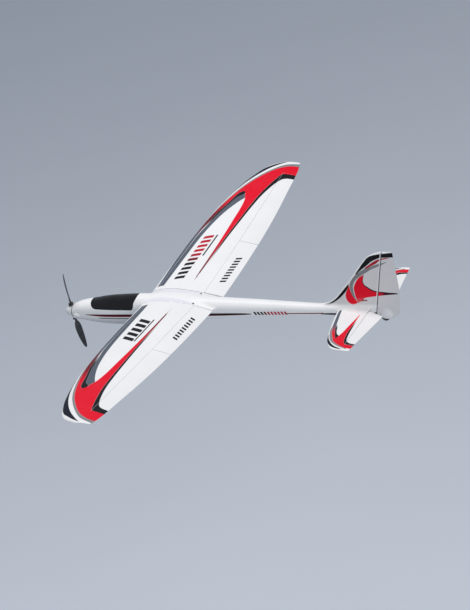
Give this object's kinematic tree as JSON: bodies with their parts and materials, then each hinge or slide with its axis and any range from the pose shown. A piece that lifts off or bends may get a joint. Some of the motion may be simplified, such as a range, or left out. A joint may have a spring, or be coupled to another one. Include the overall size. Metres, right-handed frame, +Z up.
{
  "type": "rc sailplane",
  "caption": "Powered foam sailplane with folding propeller, servo-driven flaps, ailerons, elevator and rudder, lift-off canopy hatch, belly wheel and steerable tail wheel.",
  "frame": {"origin": "centre of the flat belly plate, just aft of the main wheel and under the wing's balance point", "axes": "+X to the nose, +Y to the port wing tip, +Z up"},
  "size_m": [1.0855, 1.496, 0.3234],
  "materials": {
    "foam_skin": "satin painted bead foam with printed trim film",
    "canopy_gloss": "high gloss black",
    "spinner_plastic": "semi-gloss moulded",
    "blade_composite": "satin glass-filled nylon",
    "black_nylon": "satin moulded",
    "servo_arm_nylon": "satin moulded",
    "servo_case": "semi-gloss moulded",
    "motor_bell_metal": "machined and anodised",
    "motor_stator_metal": "enamelled windings",
    "steel_rod": "bright drawn wire",
    "carbon_tube": "satin wound fibre",
    "battery_wrap": "heat-shrink sleeve",
    "electronics_case": "satin sleeve",
    "wheel_hub_plastic": "satin moulded",
    "wheel_rubber": "matte foam rubber"
  },
  "bodies": {
    "root": {"fuselage_left": "foam_skin", "fuselage_right": "foam_skin", "wing_left": "foam_skin", "wing_right": "foam_skin", "stabilizer_left": "foam_skin", "stabilizer_right": "foam_skin", "wing_joiner_tube": "carbon_tube", "stabilizer_joiner_rod": "carbon_tube", "wing_screw_left": "black_nylon", "wing_screw_right": "black_nylon", "motor_mount": "black_nylon", "motor_stator": "motor_stator_metal", "battery_tray": "black_nylon", "battery": "battery_wrap", "speed_controller": "electronics_case", "receiver": "electronics_case", "elevator_servo": "servo_case", "rudder_servo": "servo_case", "flap_servo_left": "servo_case", "flap_servo_right": "servo_case", "aileron_servo_left": "servo_case", "aileron_servo_right": "servo_case", "main_wheel_housing": "black_nylon", "main_wheel_axle": "steel_rod"},
    "propeller": {"motor_bell": "motor_bell_metal", "spinner_backplate": "black_nylon", "prop_yoke": "black_nylon", "spinner": "spinner_plastic"},
    "blade_a": {"prop_blade_a": "blade_composite"},
    "blade_b": {"prop_blade_b": "blade_composite"},
    "canopy": {"canopy_hatch": "canopy_gloss"},
    "flap_left": {"flap_left": "foam_skin", "flap_horn_left": "black_nylon"},
    "flap_left_arm": {"flap_servo_arm_left": "servo_arm_nylon"},
    "flap_left_rod": {"flap_pushrod_left": "steel_rod"},
    "flap_right": {"flap_right": "foam_skin", "flap_horn_right": "black_nylon"},
    "flap_right_arm": {"flap_servo_arm_right": "servo_arm_nylon"},
    "flap_right_rod": {"flap_pushrod_right": "steel_rod"},
    "aileron_left": {"aileron_left": "foam_skin", "aileron_horn_left": "black_nylon"},
    "aileron_left_arm": {"aileron_servo_arm_left": "servo_arm_nylon"},
    "aileron_left_rod": {"aileron_pushrod_left": "steel_rod"},
    "aileron_right": {"aileron_right": "foam_skin", "aileron_horn_right": "black_nylon"},
    "aileron_right_arm": {"aileron_servo_arm_right": "servo_arm_nylon"},
    "aileron_right_rod": {"aileron_pushrod_right": "steel_rod"},
    "elevator": {"elevator_left": "foam_skin", "elevator_right": "foam_skin", "elevator_joiner": "steel_rod"},
    "elevator_arm": {"elevator_servo_arm": "servo_arm_nylon"},
    "elevator_rod": {"elevator_pushrod": "steel_rod"},
    "rudder": {"rudder": "foam_skin", "rudder_horn": "black_nylon", "tail_wheel_axle": "steel_rod"},
    "rudder_arm": {"rudder_servo_arm": "servo_arm_nylon"},
    "rudder_rod": {"rudder_pushrod": "steel_rod"},
    "tail_wheel": {"tail_wheel": "wheel_rubber"},
    "main_wheel": {"main_wheel_tyre": "wheel_rubber", "main_wheel_hub": "wheel_hub_plastic"}
  },
  "joints": [
    {"name": "propeller_spin", "type": "hinge", "parent": "root", "child": "propeller", "pos_m": [0.322, 0, 0.0323], "axis": [1, 0, 0], "continuous": true},
    {"name": "blade_a_fold", "type": "hinge", "parent": "propeller", "child": "blade_a", "pos_m": [0.322, 0.00205, 0.05671], "axis": [0, -0.9965, 0.0837], "range_deg": [0, 70]},
    {"name": "blade_b_fold", "type": "hinge", "parent": "propeller", "child": "blade_b", "pos_m": [0.322, -0.00205, 0.00789], "axis": [0, 0.9965, -0.0837], "range_deg": [0, 70]},
    {"name": "canopy_lift", "type": "slide", "parent": "root", "child": "canopy", "axis": [0, 0, 1], "range_m": [0, 0.08]},
    {"name": "flap_left", "type": "hinge", "parent": "root", "child": "flap_left", "pos_m": [-0.09597, 0.175, 0.08134], "axis": [-0.0144, -0.9982, -0.059], "range_deg": [-5, 35]},
    {"name": "flap_left_arm", "type": "hinge", "parent": "root", "child": "flap_left_arm", "pos_m": [-0.04097, 0.17444, 0.0773], "axis": [-0.0144, -0.9982, -0.059], "range_deg": [-5, 35]},
    {"name": "flap_left_rod", "type": "hinge", "parent": "flap_left_arm", "child": "flap_left_rod", "pos_m": [-0.04097, 0.17568, 0.05633], "axis": [-0.0144, -0.9982, -0.059], "range_deg": [-35, 5]},
    {"name": "flap_right", "type": "hinge", "parent": "root", "child": "flap_right", "pos_m": [-0.09597, -0.175, 0.08134], "axis": [0.0144, -0.9982, 0.059], "range_deg": [-5, 35]},
    {"name": "flap_right_arm", "type": "hinge", "parent": "root", "child": "flap_right_arm", "pos_m": [-0.04097, -0.17444, 0.0773], "axis": [0.0144, -0.9982, 0.059], "range_deg": [-5, 35]},
    {"name": "flap_right_rod", "type": "hinge", "parent": "flap_right_arm", "child": "flap_right_rod", "pos_m": [-0.04097, -0.17568, 0.05633], "axis": [0.0144, -0.9982, 0.059], "range_deg": [-35, 5]},
    {"name": "aileron_left", "type": "hinge", "parent": "root", "child": "aileron_left", "pos_m": [-0.08802, 0.47, 0.09876], "axis": [-0.0375, -0.9976, -0.0589], "range_deg": [-20, 20]},
    {"name": "aileron_left_arm", "type": "hinge", "parent": "root", "child": "aileron_left_arm", "pos_m": [-0.03306, 0.46818, 0.09464], "axis": [-0.0375, -0.9976, -0.0589], "range_deg": [-20, 20]},
    {"name": "aileron_left_rod", "type": "hinge", "parent": "aileron_left_arm", "child": "aileron_left_rod", "pos_m": [-0.03306, 0.46921, 0.07717], "axis": [-0.0375, -0.9976, -0.0589], "range_deg": [-20, 20]},
    {"name": "aileron_right", "type": "hinge", "parent": "root", "child": "aileron_right", "pos_m": [-0.08802, -0.47, 0.09876], "axis": [0.0375, -0.9976, 0.0589], "range_deg": [-20, 20]},
    {"name": "aileron_right_arm", "type": "hinge", "parent": "root", "child": "aileron_right_arm", "pos_m": [-0.03306, -0.46818, 0.09464], "axis": [0.0375, -0.9976, 0.0589], "range_deg": [-20, 20]},
    {"name": "aileron_right_rod", "type": "hinge", "parent": "aileron_right_arm", "child": "aileron_right_rod", "pos_m": [-0.03306, -0.46921, 0.07717], "axis": [0.0375, -0.9976, 0.0589], "range_deg": [-20, 20]},
    {"name": "elevator", "type": "hinge", "parent": "root", "child": "elevator", "pos_m": [-0.6345, 0, 0.0455], "axis": [0, -1, 0], "range_deg": [-22, 22]},
    {"name": "elevator_arm", "type": "hinge", "parent": "root", "child": "elevator_arm", "pos_m": [-0.06, 0.0045, 0.0455], "axis": [0, -1, 0], "range_deg": [-22, 22]},
    {"name": "elevator_rod", "type": "hinge", "parent": "elevator_arm", "child": "elevator_rod", "pos_m": [-0.06, 0.0023, 0.0355], "axis": [0, -1, 0], "range_deg": [-22, 22]},
    {"name": "rudder", "type": "hinge", "parent": "root", "child": "rudder", "pos_m": [-0.64848, 0, 0.033], "axis": [-0.2881, 0, 0.9576], "range_deg": [-28, 28]},
    {"name": "rudder_arm", "type": "hinge", "parent": "root", "child": "rudder_arm", "pos_m": [-0.11, 0, 0.042], "axis": [-0.2881, 0, 0.9576], "range_deg": [-28, 28]},
    {"name": "rudder_rod", "type": "hinge", "parent": "rudder_arm", "child": "rudder_rod", "pos_m": [-0.11, -0.01, 0.042], "axis": [-0.2881, 0, 0.9576], "range_deg": [-28, 28]},
    {"name": "tail_wheel_roll", "type": "hinge", "parent": "rudder", "child": "tail_wheel", "pos_m": [-0.673, 0, 0.02], "axis": [0, 1, 0], "continuous": true},
    {"name": "main_wheel_roll", "type": "hinge", "parent": "root", "child": "main_wheel", "pos_m": [0.048, 0, 0.008], "axis": [0, 1, 0], "continuous": true}
  ],
  "couplings": [
    {"joint": "flap_left_arm", "follows": "flap_left", "ratio": 1},
    {"joint": "flap_left_rod", "follows": "flap_left", "ratio": -1},
    {"joint": "flap_right", "follows": "flap_left", "ratio": 1},
    {"joint": "flap_right_arm", "follows": "flap_left", "ratio": 1},
    {"joint": "flap_right_rod", "follows": "flap_left", "ratio": -1},
    {"joint": "aileron_left_arm", "follows": "aileron_left", "ratio": 1},
    {"joint": "aileron_left_rod", "follows": "aileron_left", "ratio": -1},
    {"joint": "aileron_right", "follows": "aileron_left", "ratio": -1},
    {"joint": "aileron_right_arm", "follows": "aileron_left", "ratio": -1},
    {"joint": "aileron_right_rod", "follows": "aileron_left", "ratio": 1},
    {"joint": "elevator_arm", "follows": "elevator", "ratio": 1},
    {"joint": "elevator_rod", "follows": "elevator", "ratio": -1},
    {"joint": "rudder_arm", "follows": "rudder", "ratio": 1},
    {"joint": "rudder_rod", "follows": "rudder", "ratio": -1}
  ]
}
